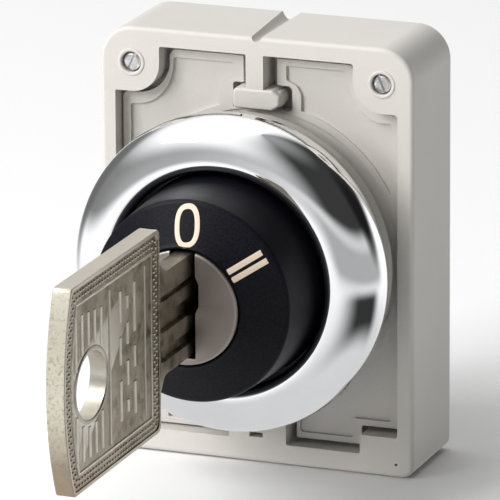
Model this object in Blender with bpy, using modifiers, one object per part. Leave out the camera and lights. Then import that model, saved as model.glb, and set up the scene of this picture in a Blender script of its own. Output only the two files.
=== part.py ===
"""Selector key switch, two positions, for a 22.5 mm panel hole.

Frame: the switch faces -Y, +X is right and +Z is up.  The origin is on the
switch axis, in the plane of the housing's front rim, which is the plane that
bears on the back of the panel.  Lengths are written in millimetres and
multiplied by MM.  "f" below means forward of that plane, so f = -y.
"""
import bpy
import bmesh
import math
from mathutils import Matrix, Vector

MM = 0.001

# ---------------------------------------------------------------- dimensions
HALF_W = 15.0                 # housing half width
Z_TOP, Z_BOT = 20.1, -19.8    # housing top and bottom
DEPTH = 10.2                  # housing depth behind the panel
R_TOP, R_BOT = 3.1, 1.1       # housing corner radii
EDGE = 0.45                   # front edge rounding

RIM_L, RIM_R = -13.6, 13.5    # inner faces of the front rim
RIM_T = 18.45
RIM_BL, RIM_BR = -17.65, -17.9
STEP_X, STEP_Z = 9.9, -16.1   # raised corner, bottom right
POCKET = 3.0                  # depth of the front pocket
BOSS = (12.0, 16.8)           # clamp screw centres
BOSS_R = 2.7
T_STEM, T_BAR = 0.85, 2.3     # half widths of the T hook
T_BAR_T, T_BAR_B = 15.25, 13.4
B_STEM, B_STEM_T = 2.7, -15.6 # bottom tongue

PLATE_Y0, PLATE_Y1 = 1.5, 2.8
FIT = 0.25                    # moulded-part gap

NECK_R = 11.0                 # neck through the 22.5 mm hole
BORE_R = 11.4                 # hole in the housing web and the plate
WEB_Y1 = 4.2

BEZEL_R = 14.7
BEZEL_IN = 9.97
GASKET_R = 13.6

DIAL_R = 9.27                 # front edge of the black dial
DIAL_F = 15.95
PLUG_R = 5.25
PLUG_F = 18.36
BARREL_BORE = 5.33
BARREL_R = 8.0
BARREL_F = 15.25
BARREL_B = -2.95

PIN_F = (12.6, 9.6, 6.6, 3.6, 0.6)   # tumbler stations along the lock
PIN_R, CHAMBER_R = 0.62, 0.72

BOW_F0, BOW_F1 = 25.4, 47.0   # key bow, rear and front
BOW_T, BOW_B = 9.3, -9.1
BLADE_T, BLADE_B = 5.0, -4.3
KEY_T = 1.7
KEY_TIP = -1.5

TURN = 60.0                   # key travel, degrees
LIFT = 1.3                    # plunger stroke
PLUNGER_R = 5.2               # plungers' distance from the axis
COVER_Y0, COVER_Y1 = 8.95, 10.15
COVER_SCREW = (11.5, -16.1)

SEG = 40                      # facets on the visible turned pieces
SEG_IN = 28                   # facets on the inner turned pieces

# ---------------------------------------------------------------- scene
for o in list(bpy.data.objects):
    bpy.data.objects.remove(o, do_unlink=True)

parts = bpy.data.collections.new("selector_key_switch")
cutters = bpy.data.collections.new("cutters")
bpy.context.scene.collection.children.link(parts)
bpy.context.scene.collection.children.link(cutters)


def material(name, rgb, rough, metal=0.0):
    m = bpy.data.materials.new(name)
    m.use_nodes = True
    b = m.node_tree.nodes["Principled BSDF"]
    b.inputs["Base Color"].default_value = (*rgb, 1)
    b.inputs["Roughness"].default_value = rough
    b.inputs["Metallic"].default_value = metal
    return m


GREY = material("housing_grey", (0.66, 0.64, 0.60), 0.5)
GREY2 = material("inner_grey", (0.45, 0.44, 0.42), 0.55)
SEAL = material("seal_rubber", (0.60, 0.57, 0.52), 0.75)
BLACK = material("dial_black", (0.02, 0.02, 0.024), 0.38)
DARK = material("neck_black", (0.05, 0.05, 0.05), 0.5)
CHROME = material("chrome", (0.8, 0.8, 0.8), 0.07, 1.0)
NICKEL = material("key_nickel_silver", (0.42, 0.38, 0.30), 0.35, 1.0)
PLUGM = material("plug_metal", (0.36, 0.33, 0.31), 0.4, 1.0)
BRASS = material("brass", (0.65, 0.5, 0.25), 0.35, 1.0)
STEEL = material("steel", (0.55, 0.55, 0.56), 0.3, 1.0)

# f axis (forward) lies along the local Z of every turned or extruded piece
FORWARD = Matrix.Rotation(math.radians(90), 4, "X")


def add(name, mesh, mat, coll=parts, matrix=None):
    o = bpy.data.objects.new(name, mesh)
    coll.objects.link(o)
    if matrix is not None:
        o.matrix_world = matrix
    if mat is not None:
        mesh.materials.append(mat)
    if coll is cutters:
        o.hide_render = True
        o.display_type = "WIRE"
    return o


def arc(cx, cz, r, a0, a1, n):
    """Points on an arc, angles in degrees from +X towards +Z."""
    return [(cx + r * math.cos(math.radians(a0 + (a1 - a0) * i / n)),
             cz + r * math.sin(math.radians(a0 + (a1 - a0) * i / n))) for i in range(n + 1)]


def outline(name, pts, f0, f1, mat=None, coll=parts, hole=None):
    """A flat outline in X and Z, from f0 to f1, as a closed mesh."""
    cu = bpy.data.curves.new(name + "_outline", "CURVE")
    cu.dimensions = "2D"
    cu.fill_mode = "BOTH"
    cu.extrude = abs(f1 - f0) / 2 * MM
    for loop in [pts] + (hole or []):
        sp = cu.splines.new("POLY")
        sp.points.add(len(loop) - 1)
        for p, (x, z) in zip(sp.points, loop):
            p.co = (x * MM, z * MM, 0, 1)
        sp.use_cyclic_u = True
    tmp = bpy.data.objects.new(name + "_curve", cu)
    bpy.context.scene.collection.objects.link(tmp)
    bpy.context.view_layer.update()
    dg = bpy.context.evaluated_depsgraph_get()
    me = bpy.data.meshes.new_from_object(tmp.evaluated_get(dg))
    bpy.data.objects.remove(tmp, do_unlink=True)
    bm = bmesh.new()
    bm.from_mesh(me)
    bmesh.ops.remove_doubles(bm, verts=bm.verts, dist=1e-7)
    # each flat side becomes one face, so that no sliver triangle is left in it
    bmesh.ops.dissolve_limit(bm, angle_limit=0.005, use_dissolve_boundaries=False, verts=bm.verts, edges=bm.edges)
    bmesh.ops.transform(bm, matrix=FORWARD @ Matrix.Translation((0, 0, (f0 + f1) / 2 * MM)), verts=bm.verts)
    bmesh.ops.recalc_face_normals(bm, faces=bm.faces)
    bm.to_mesh(me)
    bm.free()
    me.name = name
    me.materials.clear()
    return add(name, me, mat, coll)


def lathe(name, prof, mat=None, coll=parts, steps=SEG, closed=True, matrix=FORWARD):
    """A turned shape: prof lists (radius, f), down the outer side first."""
    bm = bmesh.new()
    vs = [bm.verts.new((r * MM, 0, f * MM)) for r, f in prof]
    for a, b in zip(vs, vs[1:]):
        bm.edges.new((a, b))
    if closed:
        bm.edges.new((vs[-1], vs[0]))
    me = bpy.data.meshes.new(name)
    bm.to_mesh(me)
    bm.free()
    o = add(name, me, mat, coll, matrix)
    s = o.modifiers.new("turn", "SCREW")
    s.axis = "Z"
    s.angle = 2 * math.pi
    s.steps = steps
    s.render_steps = steps
    s.use_merge_vertices = True
    s.merge_threshold = 1e-6
    s.use_smooth_shade = True
    return o


def rod(name, r, a, b, mat=None, coll=cutters, seg=24, r2=None):
    """A round bar from point a to point b, in millimetres."""
    a, b = Vector(a) * MM, Vector(b) * MM
    bm = bmesh.new()
    bmesh.ops.create_cone(bm, cap_ends=True, segments=seg, radius1=r * MM,
                          radius2=(r if r2 is None else r2) * MM, depth=(b - a).length)
    me = bpy.data.meshes.new(name)
    bm.to_mesh(me)
    bm.free()
    q = (b - a).to_track_quat("Z", "Y").to_matrix().to_4x4()
    return add(name, me, mat, coll, Matrix.Translation((a + b) / 2) @ q)


def box(name, lo, hi, mat=None, coll=cutters, turn=0.0):
    """A block between two corners, turned about the Y axis by turn degrees."""
    bm = bmesh.new()
    bmesh.ops.create_cube(bm, size=1.0)
    lo, hi = Vector(lo), Vector(hi)
    bmesh.ops.scale(bm, vec=(hi - lo) * MM, verts=bm.verts)
    bmesh.ops.translate(bm, vec=(lo + hi) / 2 * MM, verts=bm.verts)
    if turn:
        bmesh.ops.rotate(bm, cent=(0, 0, 0), matrix=Matrix.Rotation(math.radians(turn), 3, "Y"), verts=bm.verts)
    me = bpy.data.meshes.new(name)
    bm.to_mesh(me)
    bm.free()
    return add(name, me, mat, coll)


def boolean(o, other, op="DIFFERENCE"):
    m = o.modifiers.new(op.lower(), "BOOLEAN")
    m.operation = op
    m.object = other
    m.solver = "EXACT"
    if op == "UNION" and other.name not in cutters.objects:
        raise ValueError(other.name)
    return m


def soft_edges(o, at_f, width, segments=2):
    """Rounds the outer edges that lie in the plane f = at_f."""
    me = o.data
    w = me.attributes.new("bevel_weight_edge", "FLOAT", "EDGE")
    for e in me.edges:
        ys = [me.vertices[i].co.y for i in e.vertices]
        faces = all(abs(y + at_f * MM) < 1e-6 for y in ys)
        if faces:
            w.data[e.index].value = 1.0
    m = o.modifiers.new("soft_edge", "BEVEL")
    m.limit_method = "WEIGHT"
    m.width = width * MM
    m.segments = segments
    return m


def spring(name, mat, centre, axis, length, r, wire, turns, per_turn=10, res=2):
    """A compression spring along axis ('X' or 'Y'), from centre forward by length."""
    cu = bpy.data.curves.new(name, "CURVE")
    cu.dimensions = "3D"
    cu.bevel_depth = wire * MM
    cu.bevel_resolution = res
    cu.use_fill_caps = True
    n = int(turns * per_turn)
    sp = cu.splines.new("POLY")
    sp.points.add(n)
    for i in range(n + 1):
        t = 2 * math.pi * i / per_turn
        u = length * i / n
        if axis == "Y":
            p = (centre[0] + r * math.cos(t), centre[1] + u, centre[2] + r * math.sin(t))
        else:
            p = (centre[0] + u, centre[1] + r * math.cos(t), centre[2] + r * math.sin(t))
        sp.points[i].co = (p[0] * MM, p[1] * MM, p[2] * MM, 1)
    o = bpy.data.objects.new(name, cu)
    parts.objects.link(o)
    cu.materials.append(mat)
    return o


# ---------------------------------------------------------------- outlines
def rounded_rect(x0, x1, z0, z1, rt, rb, n=6):
    return (arc(x1 - rt, z1 - rt, rt, 0, 90, n) + arc(x0 + rt, z1 - rt, rt, 90, 180, n)
            + arc(x0 + rb, z0 + rb, rb, 180, 270, max(2, n // 2)) + arc(x1 - rb, z0 + rb, rb, 270, 360, max(2, n // 2)))


def front_opening(g):
    """The pocket inside the rim, drawn g smaller all round."""
    bx, bz = BOSS
    r = BOSS_R + g
    k = T_STEM + (0.65 if g else 0.0)
    bar = T_BAR + (0.6 if g else 0.0)
    top, bot = (T_BAR_T + 0.15, T_BAR_B - 0.3) if g else (T_BAR_T, T_BAR_B)
    p = []
    p += [(RIM_L + g, RIM_BL + g), (RIM_L + g, bz - r)]
    p += arc(-bx, bz, r, 270, 360, 8)
    p += [(-bx + r, RIM_T - g)]
    # T hook and its slot
    p += [(-k, RIM_T - g), (-k, top), (-bar, top), (-bar, bot), (bar, bot), (bar, top), (k, top), (k, RIM_T - g)]
    p += [(bx - r, RIM_T - g)]
    p += arc(bx, bz, r, 180, 270, 8)
    p += [(RIM_R - g, bz - r), (RIM_R - g, STEP_Z + g), (STEP_X - g, STEP_Z + g), (STEP_X - g, RIM_BR + g)]
    p += [(B_STEM + 2 * g, RIM_BR + g), (B_STEM + 2 * g, B_STEM_T + g), (-B_STEM - 2 * g, B_STEM_T + g), (-B_STEM - 2 * g, RIM_BL + g)]
    return p


# ---------------------------------------------------------------- housing
housing = outline("housing", rounded_rect(-HALF_W, HALF_W, Z_BOT, Z_TOP, R_TOP, R_BOT), 0, -DEPTH, GREY)
soft_edges(housing, 0, EDGE)
boolean(housing, outline("cut_pocket", front_opening(0), 1, -POCKET, None, cutters))
boolean(housing, rod("cut_web_bore", BORE_R, (0, 1, 0), (0, 5, 0), seg=SEG))


def cavity(x0, x1, z0, z1):
    """Rear cavity, drawn round the four screw columns."""
    bx, bz = BOSS
    cx, cz = COVER_SCREW
    rc = 2.0
    p = [(x0, cz + rc + 0.3), (x0, bz - BOSS_R)]
    p += arc(-bx, bz, BOSS_R, 270, 360, 8)
    p += [(-bx + BOSS_R, z1), (bx - BOSS_R, z1)]
    p += arc(bx, bz, BOSS_R, 180, 270, 8)
    p += [(x1, bz - BOSS_R), (x1, cz + rc + 0.3)]
    p += arc(cx, cz, rc, 90, 180, 6)
    p += [(cx - rc, z0), (-cx + rc, z0)]
    p += arc(-cx, cz, rc, 0, 90, 6)
    return p


boolean(housing, outline("cut_cavity", cavity(-13.8, 13.8, -18.6, 18.9), -WEB_Y1, -9.5, None, cutters))
boolean(housing, outline("cut_cover_seat", rounded_rect(-13.8, 13.8, -18.6, 18.9, 2.0, 0.6, 4), -8.85, -11, None, cutters))
for s, side in ((-1, "left"), (1, "right")):
    x, z = s * BOSS[0], BOSS[1]
    bore = lathe("cut_clamp_bore_" + side,
                 [(0, 1), (0.95, 1), (0.95, -1.25), (1.45, -1.25), (1.45, -2.9), (2.12, -2.9), (2.12, -12), (0, -12)],
                 None, cutters, 20, False, Matrix.Translation((x * MM, 0, z * MM)) @ FORWARD)
    boolean(housing, bore)
    x, z = s * COVER_SCREW[0], COVER_SCREW[1]
    boolean(housing, rod("cut_cover_pilot_" + side, 0.75, (x, 5.2, z), (x, 12, z), seg=16))
# groove along the top face, deeper towards the back
boolean(housing, rod("cut_top_groove", 0.45, (0.1, -0.6, Z_TOP + 0.05), (-0.3, DEPTH + 0.6, Z_TOP + 0.1), seg=16, r2=0.95))
# small slot in the bottom tongue
boolean(housing, box("cut_tongue_slot", (-0.85, -1, -17.35), (0.6, 1.1, -16.9)))
# bayonet entries, shared with the plate
entry_a = box("cut_bayonet_a", (10.6, 1, -2.2), (12.9, 5, 2.2), turn=-45)
entry_b = box("cut_bayonet_b", (-12.9, 1, -2.2), (-10.6, 5, 2.2), turn=-45)
boolean(housing, entry_a)
boolean(housing, entry_b)

# ---------------------------------------------------------------- plate
plate = outline("latch_plate", front_opening(FIT), -PLATE_Y0, -PLATE_Y1, GREY)
boolean(plate, rod("cut_plate_bore", BORE_R, (0, 0, 0), (0, 5, 0), seg=SEG))
boolean(plate, entry_a)
boolean(plate, entry_b)

# ---------------------------------------------------------------- rear cover
cover = outline("rear_cover", rounded_rect(-13.6, 13.6, -18.4, 18.7, 1.8, 0.4, 4), -COVER_Y0, -COVER_Y1, GREY2)
for s, side in ((-1, "left"), (1, "right")):
    boolean(cover, rod("cut_plunger_hole_" + side, 1.42, (s * PLUNGER_R, 8, 0), (s * PLUNGER_R, 11, 0)))
    boolean(cover, rod("cut_screw_access_" + side, 2.0, (s * BOSS[0], 8, BOSS[1]), (s * BOSS[0], 11, BOSS[1])))
    boolean(cover, lathe("cut_cover_hole_" + side, [(0, -8), (0.85, -8), (0.85, -9.5), (1.6, -9.5), (1.6, -12), (0, -12)],
                         None, cutters, 20, False,
                         Matrix.Translation((s * COVER_SCREW[0] * MM, 0, COVER_SCREW[1] * MM)) @ FORWARD))
boolean(cover, box("cut_latch_window_top", (-2.5, 8, 13.2), (2.5, 11, 14.6)))
boolean(cover, box("cut_latch_window_bottom", (-2.5, 8, -14.6), (2.5, 11, -13.2)))

# ---------------------------------------------------------------- clamp screws, inserts, cover screws
for s, side in ((-1, "left"), (1, "right")):
    x, z = s * BOSS[0], BOSS[1]
    at = Matrix.Translation((x * MM, 0, z * MM)) @ FORWARD
    screw = lathe("clamp_screw_" + side,
                  [(0, -0.02), (0.62, -0.02), (0.82, -0.2), (0.82, -3.1), (1.25, -3.4), (1.25, -7.6), (1.9, -7.6),
                   (1.9, -8.8), (0, -8.8)], STEEL, parts, 20, False, at)
    boolean(screw, box("cut_tip_slot_" + side, (x - 0.14, -1, z - 1.2), (x + 0.14, 0.3, z + 1.2)))
    boolean(screw, box("cut_head_slot_" + side, (x - 2.5, 8.2, z - 0.25), (x + 2.5, 9.5, z + 0.25)))
    lathe("screw_insert_" + side, [(2.02, -3.0), (2.02, -5.6), (1.35, -5.6), (1.35, -3.0)], BRASS, parts, 20, True, at)
    x, z = s * COVER_SCREW[0], COVER_SCREW[1]
    at = Matrix.Translation((x * MM, 0, z * MM)) @ FORWARD
    cs = lathe("cover_screw_" + side,
               [(0, -5.9), (0.35, -5.9), (0.65, -6.4), (0.65, -9.6), (1.45, -9.6), (1.45, -9.95), (1.2, -10.12), (0, -10.12)],
               STEEL, parts, 16, False, at)
    boolean(cs, box("cut_cover_screw_slot_" + side, (x - 0.2, 9.85, z - 2), (x + 0.2, 11, z + 2)))

# ---------------------------------------------------------------- front operator
neck = lathe("neck_body", [(11.2, 7.4), (11.2, 5.2), (13.3, 5.2), (13.3, 3.15), (NECK_R, 3.15), (NECK_R, -6.3), (9.75, -6.3),
                           (9.75, -4.0), (5.8, -4.0), (5.8, -3.15), (9.75, -3.15), (9.75, 7.4)], DARK)
for s, side in ((-1, "left"), (1, "right")):
    boolean(neck, box("lug_" + side, (min(s * 10.2, s * 12.6), 4.5, -1.9), (max(s * 10.2, s * 12.6), 6.0, 1.9)), "UNION")

lathe("panel_gasket", [(GASKET_R - 0.25, 2.95), (GASKET_R, 2.7), (GASKET_R, 1.3), (11.25, 1.3), (11.25, 2.95)], SEAL)

bezel_outer = [(BEZEL_IN, 8.9), (10.08, 9.6), (10.35, 10.0), (10.8, 10.15), (11.7, 10.0), (12.7, 9.5), (13.65, 8.65),
               (14.35, 7.65), (BEZEL_R, 6.6), (14.45, 5.1), (13.7, 3.5)]
bezel_inner = [(13.45, 3.5), (13.6, 6.2), (12.3, 8.6), (11.2, 8.7), (10.6, 8.0), (BEZEL_IN, 8.0)]
lathe("bezel", bezel_outer + bezel_inner, CHROME)

dial = lathe("dial_insert", [(5.45, 18.15), (8.95, 16.28), (9.17, 16.14), (DIAL_R, DIAL_F), (9.6, 9.4), (9.6, 5.7), (9.03, 5.7),
                             (9.03, 4.3), (9.6, 4.3), (9.6, BARREL_B), (8.13, BARREL_B), (8.13, 15.4), (5.45, 15.4)], BLACK)
lathe("dial_seal", [(9.36 + 0.3 * math.cos(math.radians(a)), 5.0 + 0.55 * math.sin(math.radians(a))) for a in range(90, -270, -60)],
      SEAL, parts, SEG_IN)

barrel = lathe("lock_barrel", [(BARREL_R, BARREL_F), (BARREL_R, BARREL_B), (BARREL_BORE, BARREL_B), (BARREL_BORE, BARREL_F)], BRASS, parts, SEG_IN + 8)

# ---------------------------------------------------------------- turning lock
plug = lathe("lock_plug", [(0, PLUG_F), (5.08, PLUG_F), (PLUG_R, PLUG_F - 0.17), (PLUG_R, -3.05), (2.7, -3.05), (2.7, -3.3), (2.3, -3.3),
                           (2.3, -3.95), (2.7, -3.95), (2.7, -6.4), (0, -6.4)], PLUGM, parts, SEG_IN + 8, False)
boolean(plug, box("cut_keyway", (-1.15, -20, -4.6), (1.15, 1.9, 7)))
for s in (-1, 1):
    boolean(plug, box("cut_tail_flat_%s" % ("a" if s < 0 else "b"), (min(s * 2.1, s * 4), 4.15, -4), (max(s * 2.1, s * 4), 8, 4)))
for i, f in enumerate(PIN_F, 1):
    ch = rod("cut_chamber_%d" % i, CHAMBER_R, (-9, -f, 0), (-1.0, -f, 0), seg=12)
    boolean(plug, ch)
    boolean(barrel, ch)
    at = Matrix.Translation((0, -f * MM, 0)) @ Matrix.Rotation(math.radians(-90), 4, "Y")
    lathe("key_pin_%d" % i, [(0, 5.1), (PIN_R - 0.1, 5.1), (PIN_R, 5.0), (PIN_R, 1.6), (0.2, 1.05), (0, 1.05)], BRASS, parts, 12, False, at)
    lathe("driver_pin_%d" % i, [(0, 6.7), (PIN_R, 6.7), (PIN_R, 5.5), (PIN_R - 0.1, 5.42), (0, 5.42)], STEEL, parts, 12, False, at)
    spring("driver_spring_%d" % i, STEEL, (-7.85, -f, 0), "X", 0.98, 0.46, 0.09, 2.5, 8, 1)

outline("plug_clip", arc(0, 0, 4.1, -65, 245, 20) + arc(0, 0, 2.38, 245, -65, 20), -3.4, -3.85, STEEL)


def ramp(name, a0, a1, height):
    """A helical face cam between angles a0 and a1, degrees clockwise from the top."""
    bm = bmesh.new()
    n = 20
    rows = []
    for i in range(n + 1):
        a = a0 + (a1 - a0) * i / n
        s, c = math.sin(math.radians(a)), math.cos(math.radians(a))
        y1 = 5.3 + height(a)
        rows.append([bm.verts.new((r * s * MM, y * MM, r * c * MM)) for r, y in ((3.7, 4.9), (6.7, 4.9), (6.7, y1), (3.7, y1))])
    for p, q in zip(rows, rows[1:]):
        for k in range(4):
            bm.faces.new((p[k], p[(k + 1) % 4], q[(k + 1) % 4], q[k]))
    bm.faces.new(rows[0][::-1])
    bm.faces.new(rows[-1])
    bmesh.ops.recalc_face_normals(bm, faces=bm.faces)
    me = bpy.data.meshes.new(name)
    bm.to_mesh(me)
    bm.free()
    return add(name, me, None, cutters)


cam = lathe("drive_cam", [(6.8, -4.3), (6.8, -5.3), (3.2, -5.3), (3.2, -6.3), (1.0, -6.3), (1.0, -4.3)], GREY2, parts, SEG_IN)
boolean(cam, ramp("ramp_right", 10, 96, lambda a: LIFT * max(-0.1, min(1.0, (90 - a) / TURN))), "UNION")
boolean(cam, ramp("ramp_left", 204, 290, lambda a: LIFT * max(-0.1, min(1.0, (a - 210) / TURN))), "UNION")
tail = rod("cut_cam_hole", 2.8, (0, 3, 0), (0, 8, 0), seg=24)
for s in (-1, 1):
    boolean(tail, box("cut_hole_flat_%s" % ("a" if s < 0 else "b"), (min(s * 2.2, s * 4), 2, -4), (max(s * 2.2, s * 4), 9, 4)))
boolean(cam, tail)

# ---------------------------------------------------------------- plungers
for s, side in ((-1, "left"), (1, "right")):
    x = s * PLUNGER_R
    up = LIFT if s < 0 else 0.0
    y0 = 5.3 + 0.2 + up
    at = Matrix.Translation((x * MM, 0, 0)) @ FORWARD
    lathe("plunger_" + side, [(0, -y0), (0.35, -y0), (1.3, -y0 - 0.7), (1.3, -y0 - 0.75), (1.9, -y0 - 0.75), (1.9, -y0 - 1.1), (1.3, -y0 - 1.1),
                              (1.3, -y0 - 5.2), (1.1, -y0 - 5.4), (0, -y0 - 5.4)], GREY2, parts, 20, False, at)
    spring("plunger_spring_" + side, STEEL, (x, y0 + 1.35, 0), "Y", 8.75 - y0 - 1.35, 1.62, 0.14, 2.5 if s < 0 else 3.5, 8, 1)

# ---------------------------------------------------------------- key
def key_outline():
    """The key in side view as (z, f), anticlockwise."""
    p = []
    zc = (BOW_T + BOW_B) / 2
    h = (BOW_T - BOW_B) / 2
    # curved front end of the bow
    for i in range(13):
        t = -1 + 2 * i / 12
        p.append((zc + h * t, BOW_F1 - 1.9 * t * t - (0.25 if abs(t) == 1 else 0)))
    p += [(BOW_T, BOW_F0 + 0.7), (BOW_T - 0.2, BOW_F0 + 0.2), (BOW_T - 0.7, BOW_F0)]
    p += [(BLADE_T + 1.3, BOW_F0), (BLADE_T + 0.45, BOW_F0 - 0.7), (BLADE_T, BOW_F0 - 1.7)]
    # cuts along the blade
    for k, f in enumerate(PIN_F):
        d = (0.5, 0.9, 0.3, 0.7, 0.4)[k]
        p += [(BLADE_T, f + 1.1), (BLADE_T - d, f + 0.5), (BLADE_T - d, f - 0.5), (BLADE_T, f - 1.1)]
    p += [(BLADE_T - 0.2, KEY_TIP + 0.9), (BLADE_T - 2.0, KEY_TIP), (BLADE_B + 2.0, KEY_TIP), (BLADE_B, KEY_TIP + 1.2)]
    p += [(BLADE_B, BOW_F0 - 2.4), (BLADE_B - 0.15, BOW_F0 - 1.2), (BLADE_B - 0.5, BOW_F0 - 0.45), (BLADE_B - 1.1, BOW_F0)]
    p += [(BOW_B + 0.7, BOW_F0), (BOW_B + 0.2, BOW_F0 + 0.2), (BOW_B, BOW_F0 + 0.7)]
    return p


HOLE_F, HOLE_Z, HOLE_A, HOLE_B = 40.85, -0.3, 3.4, 2.9   # key ring hole
hole = [(HOLE_Z + HOLE_B * math.sin(2 * math.pi * i / 24), HOLE_F + HOLE_A * math.cos(2 * math.pi * i / 24)) for i in range(24)]


def plate_yz(name, pts, x0, x1, mat, coll=parts, hole=None):
    """A flat outline in Z and f, from x0 to x1."""
    cu_pts = [(f, z) for z, f in pts]
    holes = [[(f, z) for z, f in h] for h in (hole or [])]
    o = outline(name, cu_pts, x0, x1, mat, coll, holes)
    # outline() put (f, z) in X and Z, and the thickness along -Y
    turn = Matrix(((0, -1, 0, 0), (-1, 0, 0, 0), (0, 0, 1, 0), (0, 0, 0, 1)))
    bm = bmesh.new()
    bm.from_mesh(o.data)
    bmesh.ops.transform(bm, matrix=turn, verts=bm.verts)
    bmesh.ops.recalc_face_normals(bm, faces=bm.faces)
    bm.to_mesh(o.data)
    bm.free()
    return o


key = plate_yz("key", key_outline(), -KEY_T / 2, KEY_T / 2, NICKEL, parts, [hole])
# long grooves down both sides of the blade
for i, (z0, z1, s) in enumerate(((-2.6, -1.6, 1), (1.4, 2.4, 1), (-0.6, 0.6, -1))):
    a, b = (0.5, 3) if s > 0 else (-3, -0.5)
    boolean(key, box("cut_blade_groove_%d" % i, (a, -25.2, z0), (b, 3, z1)))

# ---------------------------------------------------------------- joints' empties
# the key and the plug turn about the Y axis through the origin, which is
# also every turned piece's own origin, so only the travelling pieces need one
for side, s in (("left", -1), ("right", 1)):
    e = bpy.data.objects.new("clamp_axis_" + side, None)
    e.location = (s * BOSS[0] * MM, 0, BOSS[1] * MM)
    parts.objects.link(e)

# ---------------------------------------------------------------- shading
for o in parts.objects:
    if o.type == "MESH" and not any(m.type == "SCREW" for m in o.modifiers):
        o.data.shade_smooth()
        o.data.set_sharp_from_angle(angle=math.radians(35))
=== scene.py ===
"""Looks of the selector key switch: fine meshes, materials, light and camera.

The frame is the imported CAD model.  Lengths below are in millimetres, and "f" is
the distance in front of the housing's front plane, so f = -y.
"""
import bpy
import bmesh
import math
from mathutils import Matrix, Vector


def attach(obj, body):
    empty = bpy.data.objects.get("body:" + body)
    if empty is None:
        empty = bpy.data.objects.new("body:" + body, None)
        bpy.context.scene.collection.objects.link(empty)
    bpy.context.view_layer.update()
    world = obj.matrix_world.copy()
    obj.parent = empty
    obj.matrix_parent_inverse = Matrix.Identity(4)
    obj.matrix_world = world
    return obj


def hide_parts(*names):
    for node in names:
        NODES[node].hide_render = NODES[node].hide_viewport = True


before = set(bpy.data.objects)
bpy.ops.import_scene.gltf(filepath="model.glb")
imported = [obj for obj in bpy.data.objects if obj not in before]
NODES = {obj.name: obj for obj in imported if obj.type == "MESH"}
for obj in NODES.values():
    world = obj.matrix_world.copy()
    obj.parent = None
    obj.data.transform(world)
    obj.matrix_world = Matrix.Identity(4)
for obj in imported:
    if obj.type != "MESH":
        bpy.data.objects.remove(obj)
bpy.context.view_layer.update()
MM = 0.001
C = bpy.context.scene.collection


# ------------------------------------------------------------------ node helpers
def new_mat(name, rgb, rough, metal=0.0, **sockets):
    m = bpy.data.materials.new(name)
    m.use_nodes = True
    b = m.node_tree.nodes["Principled BSDF"]
    b.inputs["Base Color"].default_value = (*rgb, 1)
    b.inputs["Roughness"].default_value = rough
    b.inputs["Metallic"].default_value = metal
    for k, v in sockets.items():
        b.inputs[k.replace("_", " ")].default_value = v
    return m


def node(m, kind, **props):
    n = m.node_tree.nodes.new(kind)
    for k, v in props.items():
        setattr(n, k, v)
    return n


def link(m, a, b):
    m.node_tree.links.new(a, b)


def coords(m, scale=(1, 1, 1)):
    """Object coordinates, in metres, scaled."""
    t = node(m, "ShaderNodeTexCoord")
    mp = node(m, "ShaderNodeMapping")
    mp.inputs["Scale"].default_value = scale
    link(m, t.outputs["Object"], mp.inputs["Vector"])
    return mp.outputs["Vector"]


def noise(m, vec, scale, detail=3, rough=0.55, dist=0.0):
    n = node(m, "ShaderNodeTexNoise")
    n.inputs["Scale"].default_value = scale
    n.inputs["Detail"].default_value = detail
    n.inputs["Roughness"].default_value = rough
    n.inputs["Distortion"].default_value = dist
    link(m, vec, n.inputs["Vector"])
    return n.outputs["Fac"]


def ramp(m, fac, stops):
    r = node(m, "ShaderNodeValToRGB")
    el = r.color_ramp.elements
    while len(el) < len(stops):
        el.new(0.5)
    for e, (p, c) in zip(el, stops):
        e.position = p
        e.color = (*c, 1) if len(c) == 3 else c
    link(m, fac, r.inputs["Fac"])
    return r.outputs["Color"]


def mrange(m, fac, lo, hi, a, b, smooth=False):
    r = node(m, "ShaderNodeMapRange")
    if smooth:
        r.interpolation_type = "SMOOTHSTEP"
    for k, v in (("From Min", lo), ("From Max", hi), ("To Min", a), ("To Max", b)):
        r.inputs[k].default_value = v
    link(m, fac, r.inputs["Value"])
    return r.outputs["Result"]


def mix(m, fac, a, b, mode="MIX"):
    x = node(m, "ShaderNodeMix", data_type="RGBA", blend_type=mode)
    for s, v in (("A", a), ("B", b)):
        sock = [i for i in x.inputs if i.name == s and i.type == "RGBA"][0]
        if isinstance(v, tuple):
            sock.default_value = (*v, 1)
        else:
            link(m, v, sock)
    f = [i for i in x.inputs if i.name == "Factor" and i.type == "VALUE"][0]
    if isinstance(fac, float):
        f.default_value = fac
    else:
        link(m, fac, f)
    return [o for o in x.outputs if o.type == "RGBA"][0]


def bump(m, height, strength, dist, chain=None):
    b = node(m, "ShaderNodeBump")
    b.inputs["Strength"].default_value = strength
    b.inputs["Distance"].default_value = dist
    link(m, height, b.inputs["Height"])
    if chain is not None:
        link(m, chain, b.inputs["Normal"])
    return b.outputs["Normal"]


def set_in(m, name, out):
    link(m, out, m.node_tree.nodes["Principled BSDF"].inputs[name])


def edge_wear_and_highlight(m, radius):
    """1 on convex edges, 0 on flats, from the surface's own pointiness; real wear on the key, a painted highlight on
    the turned metal parts.
    """
    g = node(m, "ShaderNodeNewGeometry")
    return mrange(m, g.outputs["Pointiness"], 0.5, 0.5 + radius, 0.0, 1.0)


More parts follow.
